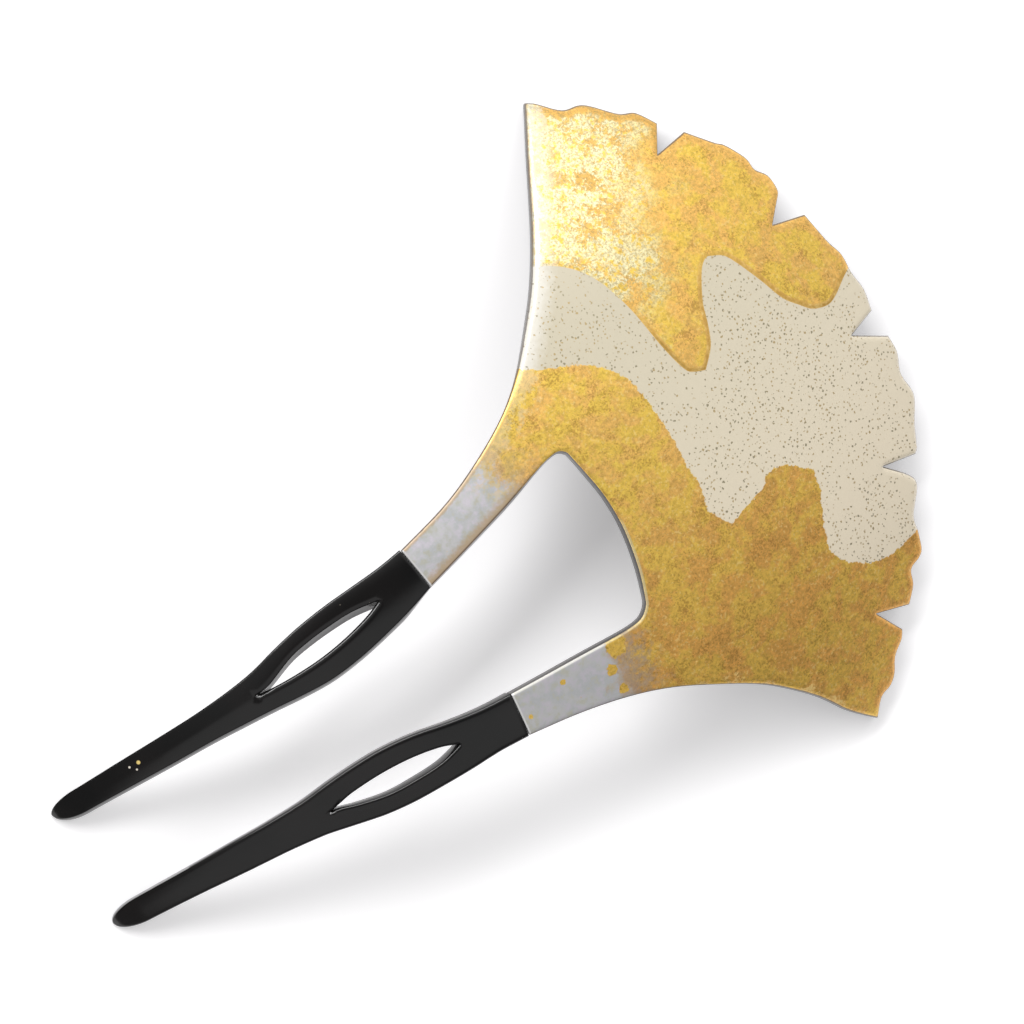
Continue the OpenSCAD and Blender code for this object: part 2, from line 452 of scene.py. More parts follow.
def build_leaf():
    """The arched leaf with its arms."""
    upper_line = smooth_line(on_face(UPPER_BORDER), BORDER_STEP, closed=False, corner=UPPER_CORNER)
    lower_line = smooth_line(on_face(LOWER_BORDER), BORDER_STEP, closed=False, corner=LOWER_CORNER)
    upper_gold = np.concatenate([upper_line, on_face(ROUND_TOP)])
    lower_gold = np.concatenate([lower_line, on_face(ROUND_BOTTOM)])
    silver = on_face(SILVER)
    normals = left_normals(upper_line, closed=False)
    extra = np.concatenate([upper_line + normals * shift for shift in RELIEF_ROWS] + [lower_line])
    sheet = Sheet(rims_from_above("leaf"), extra=extra, **LEAF_MESH)
    x, y = sheet.xy.T
    middle = (sheet.starts + sheet.ends) / 2
    in_fork = (middle[:, 0] < FORK_X) & (middle[:, 1] > FORK_Y[0]) & (middle[:, 1] < FORK_Y[1]) & ~sheet.joint
    outer = sheet.reach(~in_fork & ~sheet.joint)
    fork = sheet.reach(in_fork)
    joint = sheet.reach(sheet.joint)
    along = sheet.ends - sheet.starts
    along /= np.hypot(along[:, 0], along[:, 1])[:, None]
    faces = np.column_stack([along[:, 1], -along[:, 0]])
    side_reach = []
    for far, side, truly in (LEFT_SIDE, RIGHT_SIDE):
        chosen = ~in_fork & ~sheet.joint & (middle[:, 0] < far) & (faces @ side > truly)
        side_reach.append(np.minimum(sheet.reach(chosen), RIM_REACH))
    wing = smooth_step(*WING_Y, y) * (1 - smooth_step(*WING_X, x))
    arm = 1 - smooth_step(*ARM_X, x)
    edge = [first + (second - first) * wing for first, second in zip(LOBE_EDGE, WING_EDGE)]
    edge = [first + (second - first) * arm for first, second in zip(edge, ARM_EDGE)]
    fall = np.maximum(edge_fall(outer, *edge), edge_fall(fork, *FORK_EDGE))
    fall = np.maximum(fall, edge_fall(joint, *JOINT_EDGE))
    under = edge_fall(np.minimum(outer, fork), *UNDER_EDGE)
    marks = {
        "outer": np.minimum(outer, RIM_REACH),
        "fork": np.minimum(fork, RIM_REACH),
        "joint": np.minimum(joint, RIM_REACH),
        "left_side": side_reach[0],
        "right_side": side_reach[1],
        "upper_gold": np.clip(signed_distance(sheet.xy, upper_gold), -GOLD_REACH, GOLD_REACH),
        "lower_gold": np.clip(signed_distance(sheet.xy, lower_gold), -GOLD_REACH, GOLD_REACH),
        "silver": np.clip(signed_distance(sheet.xy, silver), -SILVER_REACH, GOLD_REACH),
    }
    relief = RELIEF * (1 - RELIEF_FADE * smooth_step(*RELIEF_Y, y))
    relief = relief * smooth_step(0, RELIEF_W, marks["upper_gold"])

    def top(x, y):
        return face_z(x, y) + relief - fall

    def bottom(x, y):
        return face_z(x, y, LEAF_T, FLATTER) + under

    return solid("ginkgo_leaf", sheet, top, bottom, marks)


# Rounding and crown of the prongs: width in mm, and the share of the half thickness that it takes
PRONG_EDGE = {"prong_left": (0.25, 0.08), "prong_right": (0.5, 0.16)}
PRONG_CROWN = (3.4, 0.16)
EYE_EDGE = (0.8, 0.22)
PRONG_UNDER = (0.5, 0.2)
PRONG_JOINT = (0.2, 0.06)
# Grooves that run on from the eyes' pointed ends, in pixels of the photograph
GROOVES = {
    "prong_left": ((272, 687), (265, 692), (257, 696)),
    "prong_right": ((340, 802), (335, 809), (330, 813)),
}
# Their half width and depth, and the mesh's step and rows along them, in mm
GROOVE_W = 0.35
GROOVE_DEPTH = 0.22
GROOVE_STEP = 0.2
GROOVE_ROWS = (-GROOVE_W, -0.17, 0.0, 0.17, GROOVE_W)
# Share of its thickness that a prong keeps at the very tip, squared
TIP_KEEPS = 0.03
# Mesh of a prong, in mm: step along the rims, rows inside them, and step of the grid
PRONG_MESH = {"step": 0.3, "edge_rows": (0.06, 0.2, 0.42, 0.7, 1.0, 1.35), "grid": 0.5}


def build_prong(node, name):
    """A crowned prong with its eye, and with the groove that runs on from the eye."""
    tip_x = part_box(node)[0].x / MM
    groove = smooth_line(on_face(GROOVES[node]), GROOVE_STEP, closed=False)
    normals = left_normals(groove, closed=False)
    extra = np.concatenate([groove + normals * shift for shift in GROOVE_ROWS])
    sheet = Sheet(rims_from_above(node), extra=extra, **PRONG_MESH)
    x, y = sheet.xy.T
    thick = TIP_T + (PRONG_T - TIP_T) * (x - tip_x) / (JOINT_X - tip_x)
    share = np.sqrt(np.clip(1 - (1 - np.minimum((x - tip_x) / TIP_LEN, 1)) ** 2, TIP_KEEPS, 1))
    drop = thick / 2 + TIP_BEND[node] * ((JOINT_X - x) / (JOINT_X - tip_x)) ** 2
    first = np.arange(len(sheet.starts)) < len(sheet.loops[0])
    outer = sheet.reach(first & ~sheet.joint)
    eye = sheet.reach(~first)
    joint = sheet.reach(sheet.joint)
    fall = np.maximum(edge_fall(outer, *PRONG_EDGE[node]), edge_fall(eye, *EYE_EDGE))
    fall = np.maximum(fall, edge_fall(joint, *PRONG_JOINT))
    fall = fall + PRONG_CROWN[1] * (1 - np.minimum(outer / PRONG_CROWN[0], 1)) ** 2
    cut = GROOVE_DEPTH * (1 - smooth_step(0, GROOVE_W, distance(sheet.xy, groove[:-1], groove[1:])))
    under = edge_fall(np.minimum(outer, eye), *PRONG_UNDER)

    def top(x, y):
        return face_z(x, y) - drop + thick / 2 * share * (1 - fall) - cut

    def bottom(x, y):
        return face_z(x, y) - drop - thick / 2 * share * (1 - under)

    return solid(name, sheet, top, bottom)


class Value:
    """A socket of a node, on which maths is written with plain operators."""

    def __init__(self, paint, socket):
        self.paint = paint
        self.socket = socket

    def maths(self, operation, first, second):
        return self.paint.node("Math", {"operation": operation}, {0: first, 1: second})

    def __add__(self, other):
        return self.maths("ADD", self, other)

    def __radd__(self, other):
        return self.maths("ADD", other, self)

    def __sub__(self, other):
        return self.maths("SUBTRACT", self, other)

    def __rsub__(self, other):
        return self.maths("SUBTRACT", other, self)

    def __mul__(self, other):
        return self.maths("MULTIPLY", self, other)

    def __rmul__(self, other):
        return self.maths("MULTIPLY", other, self)


class Paint:
    """The nodes of one finish."""

    def __init__(self, owner):
        self.owner = owner
        owner.use_nodes = True
        self.tree = owner.node_tree

    def put(self, socket, value):
        """Link a socket, or set it."""
        if isinstance(value, Value):
            self.tree.links.new(value.socket, socket)
        else:
            socket.default_value = value

    def node(self, kind, settings=None, sockets=None, output=0):
        """Make a node with its settings and the values or links of its sockets."""
        made = self.tree.nodes.new("ShaderNode" + kind)
        for setting, value in (settings or {}).items():
            setattr(made, setting, value)
        for socket, value in (sockets or {}).items():
            self.put(made.inputs[socket], value)
        return Value(self, made.outputs[output])

    def shader(self, name, sockets):
        """Set or link sockets of the shader that is there from the start."""
        for socket, value in sockets.items():
            self.put(self.tree.nodes[name].inputs[socket], value)

    def place(self):
        return self.node("TexCoord", output="Object")

    def mark(self, name):
        """A value in mm that the mesh holds at each point."""
        return self.node("Attribute", {"attribute_name": name}, output="Fac")

    def noise(self, size, detail=2.0, roughness=0.5, distortion=0.0, apart=0.0):
        """Cloudy value from about 0.3 to 0.7, with clouds of a size in mm, from a place of its own."""
        at = self.node("VectorMath", {"operation": "ADD"}, {0: self.place(), 1: (apart, apart, apart)})
        sockets = {"Vector": at, "Scale": 1 / (size * MM), "Detail": detail, "Roughness": roughness,
                   "Distortion": distortion}
        return self.node("TexNoise", {}, sockets)

    def rise(self, low, high, value):
        """Smooth rise from 0 at low to 1 at high."""
        return self.node("MapRange", {"interpolation_type": "SMOOTHSTEP"},
                         {"Value": value, "From Min": low, "From Max": high})

    def mix(self, share, first, second):
        """Colour between two."""
        return self.node("Mix", {"data_type": "RGBA"}, {0: share, 6: first, 7: second}, 2)

    def scaled(self, colour, by):
        """Colour made lighter or darker."""
        return self.node("VectorMath", {"operation": "SCALE"}, {0: colour, "Scale": by})

    def either(self, first, second):
        """1 where one or the other is 1."""
        return 1 - (1 - first) * (1 - second)

    def near(self, point, inner, outer):
        """1 up to an inner distance from a point, and 0 from an outer one, in mm."""
        gap = self.node("VectorMath", {"operation": "DISTANCE"}, {0: self.place(), 1: point}, "Value")
        return self.rise(outer * MM, inner * MM, gap)

    def cells(self, size):
        """Scattered grains seen from above: distance from a grain's middle in cells, and three chances."""
        flat = self.node("VectorMath", {"operation": "MULTIPLY"}, {0: self.place(), 1: (1, 1, 0)})
        sockets = {"Vector": flat, "Scale": 1 / (size * MM)}
        gap = self.node("TexVoronoi", {"voronoi_dimensions": "2D"}, sockets, "Distance")
        colour = Value(self, gap.socket.node.outputs["Color"])
        chances = self.node("SeparateColor", {}, {0: colour})
        return (gap, *(Value(self, out) for out in chances.socket.node.outputs))

    def bump(self, height_mm):
        """Normal of a surface with a fine height in mm."""
        return self.node("Bump", {}, {"Height": height_mm, "Distance": MM})


def finish(name):
    """A new finish."""
    return Paint(bpy.data.materials.new(name))


# Colours of the finishes, as they reflect light
LEAF_YELLOW = (0.91, 0.62, 0.115, 1)
# Darker copy of the leaf, painted shade for the lower right
LEAF_SHADED = (0.90, 0.58, 0.115, 1)
# Pale leaf, partly a painted highlight, and the colour of pale painted highlight lines
PALE_LEAF_AND_HIGHLIGHT = (0.92, 0.85, 0.54, 1)
# White of painted highlights
HIGHLIGHT_WHITE = (0.98, 0.95, 0.86, 1)
GROUND_ORANGE = (0.88, 0.54, 0.15, 1)
# Darker copy of the ground, painted shade for the lower right
GROUND_SHADED = (0.82, 0.455, 0.115, 1)
SPECK_DULL = (0.46, 0.34, 0.14, 1)
GRAIN_DARK = (0.36, 0.16, 0.04, 1)
# Colour of painted glints and of bright flakes
GLINT_AND_FLAKE = (1.0, 0.74, 0.28, 1)
TARNISH = (0.55, 0.42, 0.34, 1)
RIM_ORANGE = (0.78, 0.46, 0.11, 1)
RIM_LIGHT = (0.94, 0.60, 0.18, 1)
# Painted shade along the leaf's outer rim
RIM_SHADE_COLOUR = (0.07, 0.05, 0.04, 1)
CREAM_LIGHT = (0.81, 0.71, 0.54, 1)
# Painted highlight along the cream field's left side
CREAM_HIGHLIGHT = (0.92, 0.90, 0.85, 1)
# Darker cream, painted shade for the cream field's left part
CREAM_SHADED = (0.61, 0.55, 0.41, 1)
SPECK_GOLD = (0.56, 0.40, 0.17, 1)
SPECK_OLIVE = (0.30, 0.26, 0.15, 1)
SILVER_GREY = (0.54, 0.55, 0.56, 1)
SILVER_PALE = (0.60, 0.595, 0.59, 1)
SILVER_LILAC = (0.585, 0.55, 0.60, 1)
SILVER_STRAW = (0.60, 0.59, 0.50, 1)
SILVER_TAN = (0.50, 0.35, 0.19, 1)
SILVER_BROWN = (0.20, 0.13, 0.08, 1)
GOLD_DUST = (0.72, 0.56, 0.26, 1)
# Painted highlight along the joints
JOINT_HIGHLIGHT_WHITE = (0.85, 0.84, 0.83, 1)
SIDE_DARK = (0.035, 0.032, 0.030, 1)
SIDE_GREY = (0.065, 0.058, 0.053, 1)
BLACK_DEEP = (0.002, 0.002, 0.002, 1)
BLACK_SOFT = (0.005, 0.004, 0.004, 1)
DUST_GREY = (0.35, 0.30, 0.24, 1)
DOT_GOLD = (0.95, 0.72, 0.25, 1)
DOT_PALE = (0.95, 0.88, 0.75, 1)
# How strongly lacquer bends light
LACQUER_IOR = 1.5

# Gold left on the silver ends and beside them, in pixels of the photograph, with its radius in mm
GOLD_BLOBS = (((616, 646), 1.5), ((612, 670), 0.8), ((624, 688), 0.7), ((563, 682), 0.4), ((531, 717), 0.35))
# Shares of its radius between which a blob fades
BLOB_FADE = (0.5, 1.5)
# Middle of the crowded specks on the cream field, in pixels of the photograph, and how far they reach, in mm
CROWD_PIXEL = (785, 365)
CROWD_REACH = (5.0, 14.0)
# Direction across the upper gold field
PALE_SIDE = (0.81, -0.58, 0)
# Where along it, in mm, the pale leaf, which is partly a painted highlight, starts to fade and has faded, and
# how far it is torn
PALE_FROM = 13.0
PALE_TO = 28.0
PALE_TORN = 30.0

# Borders of the fields: where each ends and where it is full, in mm inside its line, and how far it is torn
UPPER_FADE = (-0.02, 0.1)
LOWER_FADE = (-0.08, 0.08)
LOWER_TORN = 1.6
SILVER_FADE = (-1.4, 1.2)
SILVER_TORN = 10.0
TARNISH_FADE = (-6.5, -0.5)
TARNISH_TORN = 14.0
DUST_FADE = (5.0, 0.0)
# Bands and lines along the rims: where each ends and where it is full, in mm from the rim
# Painted shade line along the outer rim
RIM_SHADE_BAND = (0.2, 0.1)
PLAIN_BAND = (1.5, 0.9)
PLAIN_FROM_LEFT = (1.2, 2.4)
PLAIN_FROM_RIGHT = (1.0, 2.0)
# Painted highlight along the leaf's left side
HIGHLIGHT_BAND = (3.0, 1.5)
HIGHLIGHT_TORN = 16.0
BROWN_BAND = (0.7, 0.35)
# Painted highlight along the cream field's left side
CREAM_HIGHLIGHT_BAND = (3.6, 0.8)
RIM_STRIP = (0.75, 0.6)
FLAKE_BAND = (1.2, 0.5)
FLAKE_TORN = 14.0
# Painted highlight line along the fork's edge
FORK_HIGHLIGHT = (0.4, 0.2)
FORK_SHOULDER = (1.7, 0.5)
FORK_BROWN = (0.34, 0.14)
ARM_MARGIN = (0.75, 0.35)
# Painted light on the left arm's silver, strongest near its left side
ARM_PAINTED_LIGHT = (4.5, 1.2)
# Painted highlight along the joints
JOINT_HIGHLIGHT = (0.28, 0.14)
# Places across the pin between which a finish comes in, y in mm
# The first pair spans the painted shade that darkens the gold towards the lower right
LOWER_SHADE_Y = (8.0, -20.0)
STRIP_Y = (23.0, 13.0)
FLAKE_Y = (-22.0, -26.0)
# Where the painted shade on the cream field comes in, darker towards the left
CREAM_SHADE_Y = (30.0, -30.0)
LEFT_ARM_Y = (-2.0, 2.0)
# Where the painted highlight along the fork's edge comes in
FORK_HIGHLIGHT_Y = (0.0, -2.0)


def at_face(pixel, drop=0.0):
    """Point that lies drop mm under the outer face where a pixel of the photograph shows it, in metres."""
    x, y = on_face([pixel])[0]
    return (x * MM, y * MM, (float(face_z(x, y)) - drop) * MM)


class LeafPlaces:
    """What the leaf's finishes share: marks and places in mm, noises, and where each field is."""

    def __init__(self, paint):
        self.outer, self.fork, self.joint = (paint.mark(name) for name in ("outer", "fork", "joint"))
        self.left_side, self.right_side = (paint.mark(name) for name in ("left_side", "right_side"))
        self.upper_gold, self.lower_gold = (paint.mark(name) for name in ("upper_gold", "lower_gold"))
        self.silver = paint.mark("silver")
        self.y = paint.node("SeparateXYZ", {}, {0: paint.place()}, "Y") * (1 / MM)
        self.left_arm = paint.rise(*LEFT_ARM_Y, self.y)
        self.fine = paint.noise(0.8, detail=4, roughness=0.6, apart=2.0)
        self.grain = paint.noise(0.55, detail=3, roughness=0.6)
        self.wear = paint.noise(0.5, detail=4, roughness=0.6, apart=7.0)
        self.patchy = paint.noise(3.2, detail=4, roughness=0.55, distortion=0.4, apart=1.0)
        rags = paint.noise(0.6, detail=4, roughness=0.8, distortion=0.6, apart=1.5)
        self.torn = self.patchy * 0.5 + rags * 0.5

        blobs = 0.0
        for pixel, radius in GOLD_BLOBS:
            blobs = blobs + paint.near(at_face(pixel), *(radius * share for share in BLOB_FADE))
        self.blobs = paint.rise(0.35, 0.65, blobs + (self.fine - 0.5) * 2)
        tear = paint.noise(0.9, detail=6, roughness=0.7) - 0.5
        shreds = paint.noise(2.4, detail=8, roughness=0.8) - 0.5
        self.in_upper = paint.rise(*UPPER_FADE, self.upper_gold)
        in_lower = paint.rise(*LOWER_FADE, self.lower_gold + tear * LOWER_TORN)
        self.in_gold = paint.either(self.in_upper, in_lower)
        self.in_silver = paint.rise(*SILVER_FADE, self.silver + shreds * SILVER_TORN) * (1 - self.blobs)


def gold_leaf(paint, at):
    """Torn leaf on an orange ground, with painted shade towards the lower right and a paler leaf towards the
    left that is partly a painted highlight: its colour, its roughness and where painted glints and bright
    flakes lie.
    """
    clouds = paint.noise(7, detail=4, roughness=0.55)
    beside = paint.node("VectorMath", {"operation": "DOT_PRODUCT"}, {0: paint.place(), 1: PALE_SIDE}, "Value")
    drift = (clouds - 0.5 + (at.fine - 0.5) * 0.7) * PALE_TORN
    # Paler, smoother leaf towards the left, partly a painted highlight
    pale = paint.rise(PALE_TO, PALE_FROM, beside * (1 / MM) + drift) * at.in_upper
    patch = paint.rise(0.42, 0.58, at.patchy * 0.8 + at.fine * 0.2) * (1 - pale)
    patch = paint.either(patch + paint.rise(0.44, 0.51, at.torn) * pale, at.blobs)
    band = paint.rise(*PLAIN_BAND, at.outer + (at.fine - 0.5) * 2)
    band = band * paint.rise(*PLAIN_FROM_LEFT, at.left_side) * paint.rise(*PLAIN_FROM_RIGHT, at.right_side)
    strip = paint.rise(*RIM_STRIP, at.upper_gold) * at.in_upper * paint.rise(*STRIP_Y, at.y)
    whole = patch * (1 - band) * (1 - strip)

    # Painted shade: leaf and ground darker towards the lower right
    lower_right_shade = paint.rise(*LOWER_SHADE_Y, at.y)
    ground = paint.scaled(paint.mix(lower_right_shade, GROUND_ORANGE, GROUND_SHADED), 0.8 + clouds * 0.36)
    leaf_tone = paint.mix(lower_right_shade, LEAF_YELLOW, LEAF_SHADED)
    leaf_tone = paint.mix(pale * paint.rise(0.36, 0.54, at.fine), leaf_tone, PALE_LEAF_AND_HIGHLIGHT)
    worms = paint.noise(0.9, detail=2, distortion=1.6, apart=4.5) - 0.5
    vein = paint.rise(0.06, 0.01, paint.node("Math", {"operation": "ABSOLUTE"}, {0: worms}))
    tone = paint.scaled(paint.mix(whole, ground, leaf_tone), 0.6 + at.grain * 0.9 - vein * 0.12)

    crowded = paint.noise(2.4, detail=3, apart=6.0) - 0.5
    grit = paint.noise(0.3, detail=2, roughness=0.6, apart=6.5)
    grains = paint.rise(0.58, 0.7, grit - crowded * 0.8) * (1 - pale) * (1 - strip)
    dots = paint.rise(0.5, 0.6, grit + (at.fine - 0.5) * 0.5) * pale
    tone = paint.mix(grains * 0.45, tone, GRAIN_DARK)
    tone = paint.mix(dots * 0.6, tone, SPECK_DULL)
    tone = paint.mix(strip, tone, paint.mix(paint.rise(0.38, 0.62, at.fine), RIM_ORANGE, RIM_LIGHT))

    # Painted highlight along the leaf's left side: white on the upper gold, pale on the lower
    light = paint.rise(*HIGHLIGHT_BAND, at.left_side + (at.torn - 0.5) * HIGHLIGHT_TORN)
    tone = paint.mix(light * at.in_upper * 0.42, tone, HIGHLIGHT_WHITE)
    tone = paint.mix(light * (1 - at.in_upper) * 0.35, tone, PALE_LEAF_AND_HIGHLIGHT)
    tone = paint.mix(paint.rise(*BROWN_BAND, at.left_side) * (1 - at.in_upper) * 0.7, tone, RIM_ORANGE)
    # Painted highlight along the lower side of the fork
    tone = paint.mix(paint.rise(*FORK_HIGHLIGHT, at.fork) * paint.rise(*FORK_HIGHLIGHT_Y, at.y) * 0.6, tone, PALE_LEAF_AND_HIGHLIGHT)

    # Painted glints on the ground, painted highlights on the relief's rim, and bright flakes along the lower
    # edge
    glints = paint.noise(0.4, detail=2, apart=3.5)
    painted_glint = paint.rise(0.6, 0.7, glints + crowded * 0.35) * (1 - strip)
    flakes = paint.rise(*FLAKE_BAND, at.right_side + (at.torn - 0.44) * FLAKE_TORN)
    flakes = flakes * paint.rise(*FLAKE_Y, at.y)
    rim_highlight = paint.rise(0.56, 0.68, at.fine) * strip
    glints_and_flakes = paint.either(paint.either(painted_glint * 0.45, flakes * 0.75), rim_highlight * 0.5)
    tone = paint.mix(glints_and_flakes, tone, GLINT_AND_FLAKE)
    tarnish = paint.rise(*TARNISH_FADE, at.silver + (at.fine - 0.5) * TARNISH_TORN)
    tone = paint.mix(tarnish * (0.75 - at.left_arm * 0.4) * (1 - at.blobs), tone, TARNISH)
    rough = 0.5 - whole * (0.08 + pale * 0.1) + (at.grain - 0.5) * 0.3 - strip * 0.14
    return tone, rough, glints_and_flakes


def cream_lacquer(paint, at):
    """Cream lacquer with sprinkled specks, with painted shade that darkens it towards the left and a painted
    highlight along its left side: its colour, and where the specks are.
    """
    gap, presence, size, hue = paint.cells(0.6)
    crowd = 0.64 + 0.25 * paint.near(at_face(CROWD_PIXEL), *CROWD_REACH)
    crowd = crowd + (paint.noise(2.6, detail=3, apart=5.0) - 0.5) * 3.2
    ragged = (paint.noise(0.26, detail=1, apart=5.5) - 0.5) * 0.9
    speck = paint.rise(0.0, 0.03, crowd - presence) * paint.rise(0.0, 0.12, 0.1 + size * 0.2 + ragged - gap)
    # Painted shade: the cream darker towards the left
    tone = paint.mix(paint.rise(*CREAM_SHADE_Y, at.y + (at.fine - 0.5) * 10), CREAM_SHADED, CREAM_LIGHT)
    # Painted highlight along the cream field's left side
    cream_highlight = paint.rise(*CREAM_HIGHLIGHT_BAND, at.left_side + (at.fine - 0.5) * 2)
    tone = paint.mix(cream_highlight * 0.6, tone, CREAM_HIGHLIGHT)
    speck_tone = paint.mix(paint.rise(0.3, 0.7, hue), SPECK_OLIVE, SPECK_GOLD)
    return paint.mix(speck * 0.75, tone, speck_tone), speck


def silver_leaf(paint, at):
    """Silver leaf of the arm ends, dusted with gold, with tan and brown bands along the left arm's rims,
    painted light on the left arm and painted highlights along the fork and the joints: its colour.
    """
    sheen = paint.noise(2.5, detail=3, apart=8.0)
    tone = paint.mix(paint.rise(0.35, 0.65, sheen), SILVER_GREY, SILVER_PALE)
    tint = paint.noise(1.2, detail=3, roughness=0.6, apart=8.5)
    tone = paint.mix(paint.rise(0.5, 0.62, tint) * 0.8, tone, SILVER_LILAC)
    tone = paint.mix(paint.rise(0.46, 0.36, tint) * 0.8, tone, SILVER_STRAW)
    # Painted light: the left arm's silver lighter, most of all near its left side
    light = 0.94 + at.left_arm * (0.04 + paint.rise(*ARM_PAINTED_LIGHT, at.left_side) * 0.1)
    tone = paint.scaled(tone, light + (tint - 0.5) * (0.35 + at.left_arm * 0.35))
    dusting = paint.rise(*DUST_FADE, at.silver) * paint.rise(0.46, 0.6, at.fine) * at.left_arm
    tone = paint.mix(dusting * 0.7, tone, GOLD_DUST)
    shoulder = paint.rise(*FORK_SHOULDER, at.fork + (at.wear - 0.5) * 1.4)
    margin = paint.rise(*ARM_MARGIN, at.left_side + (at.wear - 0.5) * 0.6)
    tone = paint.mix(paint.either(shoulder, margin) * at.left_arm * 0.8, tone, SILVER_TAN)
    tone = paint.mix(paint.rise(*FORK_BROWN, at.fork) * at.left_arm * 0.8, tone, SILVER_BROWN)
    # Painted highlight along the lower arm's edge in the fork
    tone = paint.mix(paint.rise(*FORK_HIGHLIGHT, at.fork) * (1 - at.left_arm) * 0.6, tone, HIGHLIGHT_WHITE)
    # Painted highlight along the joints with the prongs
    return paint.mix(paint.rise(*JOINT_HIGHLIGHT, at.joint), tone, JOINT_HIGHLIGHT_WHITE)


def leaf_face():
    """Gold leaf, a speckled cream field and silver arm ends, under clear lacquer, with a painted shade line
    along the outer rim.
    """
    paint = finish("gold_cream_and_silver")
    at = LeafPlaces(paint)
    gold_tone, gold_rough, glints_and_flakes = gold_leaf(paint, at)
    cream_tone, speck = cream_lacquer(paint, at)
    metal_tone = paint.mix(at.in_silver, gold_tone, silver_leaf(paint, at))
    shows_metal = paint.either(at.in_gold, at.in_silver)
    tone = paint.mix(shows_metal, cream_tone, metal_tone)
    # Painted shade: a dark line without metal along the outer rim
    rim_shade = paint.rise(*RIM_SHADE_BAND, at.outer + (at.fine - 0.5) * 0.12)

    metal_rough = gold_rough * (1 - at.in_silver) + (0.46 + (at.wear - 0.5) * 0.12) * at.in_silver
    cream_rough = 0.3 + speck * 0.05
    metal = paint.either(shows_metal, speck) * (1 - rim_shade)
    lower_relief = paint.rise(-0.1, 0.1, at.lower_gold) * paint.rise(0.5, -0.5, at.silver)
    grain_height = at.grain * 0.012 * (paint.rise(0.6, 0.8, at.upper_gold) + lower_relief)
    paint.shader("Principled BSDF", {
        "Base Color": paint.mix(rim_shade * 0.85, tone, RIM_SHADE_COLOUR),
        "Metallic": metal * (1 - at.in_silver * 0.5) * (1 - glints_and_flakes * 0.6),
        "Roughness": metal_rough * shows_metal + cream_rough * (1 - shows_metal),
        "Coat Weight": 0.2 + (1 - shows_metal) * 0.5,
        "Coat Roughness": 0.12,
        "Normal": paint.bump(grain_height + paint.noise(6, detail=2, apart=9.0) * 0.02),
    })
    return paint.owner


def leaf_side():
    """Dark lacquer of the leaf's sides and underside."""
    paint = finish("dark_side_lacquer")
    clouds = paint.noise(8, detail=4, roughness=0.55)
    paint.shader("Principled BSDF", {
        "Base Color": paint.mix(paint.rise(0.35, 0.65, clouds), SIDE_DARK, SIDE_GREY),
        "Roughness": 0.2 + (clouds - 0.5) * 0.15,
        "IOR": LACQUER_IOR,
        "Normal": paint.bump(paint.noise(1.6, detail=3) * 0.01),
    })
    return paint.owner


# Dots left on the black lacquer, in pixels of the photograph, with their radius in mm
GOLD_DOTS = (((140, 763), 0.24), ((208.7, 732), 0.15))
PALE_DOTS = (((131, 768), 0.15), ((138.5, 770), 0.16))
# Share of its radius at which a dot ends
DOT_FADE = 1.5
# How far under the arched face the prongs' faces lie where the dots are, in mm
DOT_DROP = {"prong_left": 0.9, "prong_right": 0.2}


def black_lacquer(node, name):
    """Glossy black lacquer with a few gold dots and fine dust."""
    paint = finish(name)
    clouds = paint.noise(14, detail=4, roughness=0.55)
    gap, chance, size, _ = paint.cells(1.1)
    worn = paint.rise(0.53, 0.66, paint.noise(10, detail=2, apart=3.0))
    dust = paint.rise(0.97, 0.985, chance) * worn * paint.rise(0.0, 0.03, 0.05 + size * 0.05 - gap)
    tone = paint.mix(paint.rise(0.35, 0.65, clouds), BLACK_DEEP, BLACK_SOFT)
    tone = paint.mix(dust * 0.6, tone, DUST_GREY)
    metal = 0.0
    for dots, colour in ((GOLD_DOTS, DOT_GOLD), (PALE_DOTS, DOT_PALE)):
        for pixel, radius in dots:
            dot = paint.near(at_face(pixel, DOT_DROP[node]), radius, radius * DOT_FADE)
            tone = paint.mix(dot, tone, colour)
            metal = metal + dot * 0.25
    paint.shader("Principled BSDF", {
        "Base Color": tone,
        "Metallic": metal,
        "Roughness": 0.15 + (clouds - 0.5) * 0.12,
        "IOR": LACQUER_IOR,
        "Normal": paint.bump(paint.noise(3.5, detail=3) * 0.012),
    })
    return paint.owner


def build_camera():
    """Camera at the photograph's angle."""
    right, up, forward = camera_axes()
    data = bpy.data.cameras.new("camera")
    data.sensor_width = SENSOR
    data.lens = SENSOR * FOCAL_PX / PHOTO_SIZE
    data.clip_end = CAMERA_FAR * MM
    camera = bpy.data.objects.new("camera", data)
    turn = Matrix((right, up, -forward)).transposed().to_4x4()
    camera.matrix_world = Matrix.Translation(CAMERA_EYE * MM) @ turn
    bpy.context.scene.collection.objects.link(camera)
    bpy.context.scene.camera = camera


# Floor: size and how far it lies under the pin, in mm, colour, colour and strength of the light that it gives
FLOOR_SIZE = 6000.0
FLOOR_DROP = 0.02
FLOOR_WHITE = (0.9, 0.893, 0.9, 1)
FLOOR_LIGHT = (1, 0.99, 1, 1)
FLOOR_GLOW = 0.305


def build_floor():
    """Plain pale floor."""
    bpy.ops.mesh.primitive_plane_add(size=FLOOR_SIZE * MM, location=(0, 0, -FLOOR_DROP * MM))
    floor = bpy.context.object
    floor.name = "floor"
    paint = finish("pale_floor")
    paint.shader("Principled BSDF", {
        "Base Color": FLOOR_WHITE,
        "Roughness": 0.7,
        "Specular IOR Level": 0.1,
        "Emission Color": FLOOR_LIGHT,
        "Emission Strength": FLOOR_GLOW,
    })
    floor.data.materials.append(paint.owner)


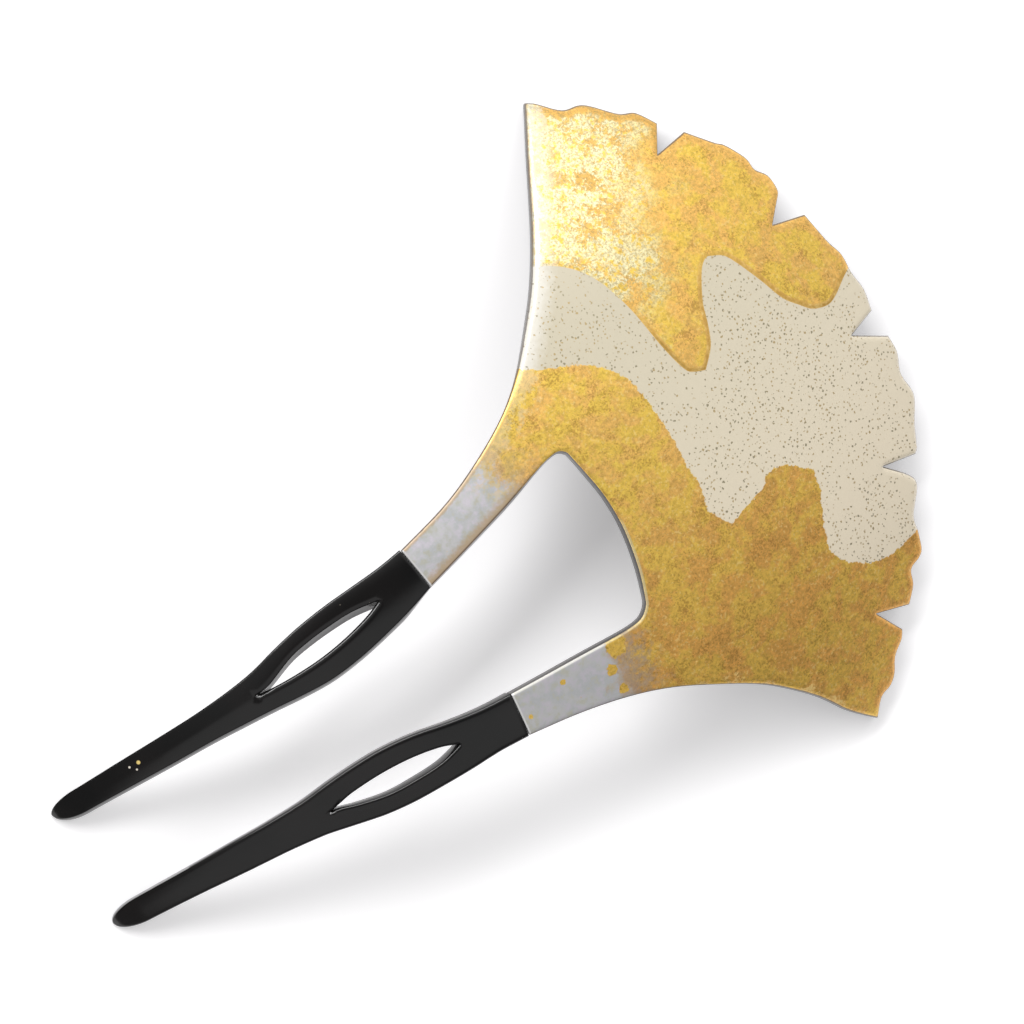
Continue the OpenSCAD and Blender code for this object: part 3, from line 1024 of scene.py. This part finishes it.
def area_light(name, azimuth, elevation, distance_m, size, power):
    """Soft box that faces the pin, from an azimuth and an elevation in degrees."""
    data = bpy.data.lights.new(name, "AREA")
    data.shape = "RECTANGLE"
    data.size, data.size_y = size
    data.energy = power
    light = bpy.data.objects.new(name, data)
    a, e = math.radians(azimuth), math.radians(elevation)
    direction = Vector((math.cos(e) * math.cos(a), math.cos(e) * math.sin(a), math.sin(e)))
    light.location = direction * distance_m
    light.rotation_euler = direction.to_track_quat("Z", "Y").to_euler()
    bpy.context.scene.collection.objects.link(light)


# Key light: azimuth and elevation in degrees, distance and size in metres, and power in watts
KEY_LIGHT = {"azimuth": 96, "elevation": 42, "distance_m": 1.3, "size": (1.1, 0.3), "power": 12.0}
# Directions in which the surround is bright, glows, is dark, and has a second panel
BRIGHT_SIDE = (0.58, 0.41, 0.70)
GLOW_SIDE = (0.604, 0.489, 0.629)
DARK_SIDE = (-0.15, -0.04, 0.988)
PANEL_SIDE = (-0.33, -0.52, 0.79)
# Grey of the surround, and steps laid over it: direction, cosines where a step starts and is full, its grey
SURROUND_GREY = (0.2, 0.2, 0.2, 1)
SURROUND_STEPS = (
    (BRIGHT_SIDE, 0.0, 0.9, 0.76),
    (DARK_SIDE, 0.93, 0.98, 0.16),
    (PANEL_SIDE, 0.86, 0.93, 0.67),
    (GLOW_SIDE, 0.95, 0.995, 1.9),
)


def build_lights():
    """Large soft box from the left, and a surround that grows brighter towards the leaf's end."""
    area_light("key", **KEY_LIGHT)
    paint = Paint(bpy.data.worlds.new("surround"))
    direction = paint.node("TexCoord", output="Generated")
    grey = SURROUND_GREY
    for side, low, high, level in SURROUND_STEPS:
        towards = paint.node("VectorMath", {"operation": "DOT_PRODUCT"}, {0: direction, 1: side}, "Value")
        grey = paint.mix(paint.rise(low, high, towards), grey, (level, level, level, 1))
    paint.shader("Background", {"Color": grey, "Strength": 1.0})
    bpy.context.scene.world = paint.owner
    bpy.context.scene.view_settings.view_transform = "Standard"


build_camera()
leaf = build_leaf()
leaf.data.materials.append(leaf_face())
leaf.data.materials.append(leaf_side())
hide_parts("leaf")
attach(leaf, "root")
for node, name in (("prong_left", "left_prong"), ("prong_right", "right_prong")):
    prong = build_prong(node, name)
    lacquer = black_lacquer(node, name + "_black_lacquer")
    prong.data.materials.append(lacquer)
    prong.data.materials.append(lacquer)
    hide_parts(node)
    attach(prong, "root")
build_floor()
build_lights()
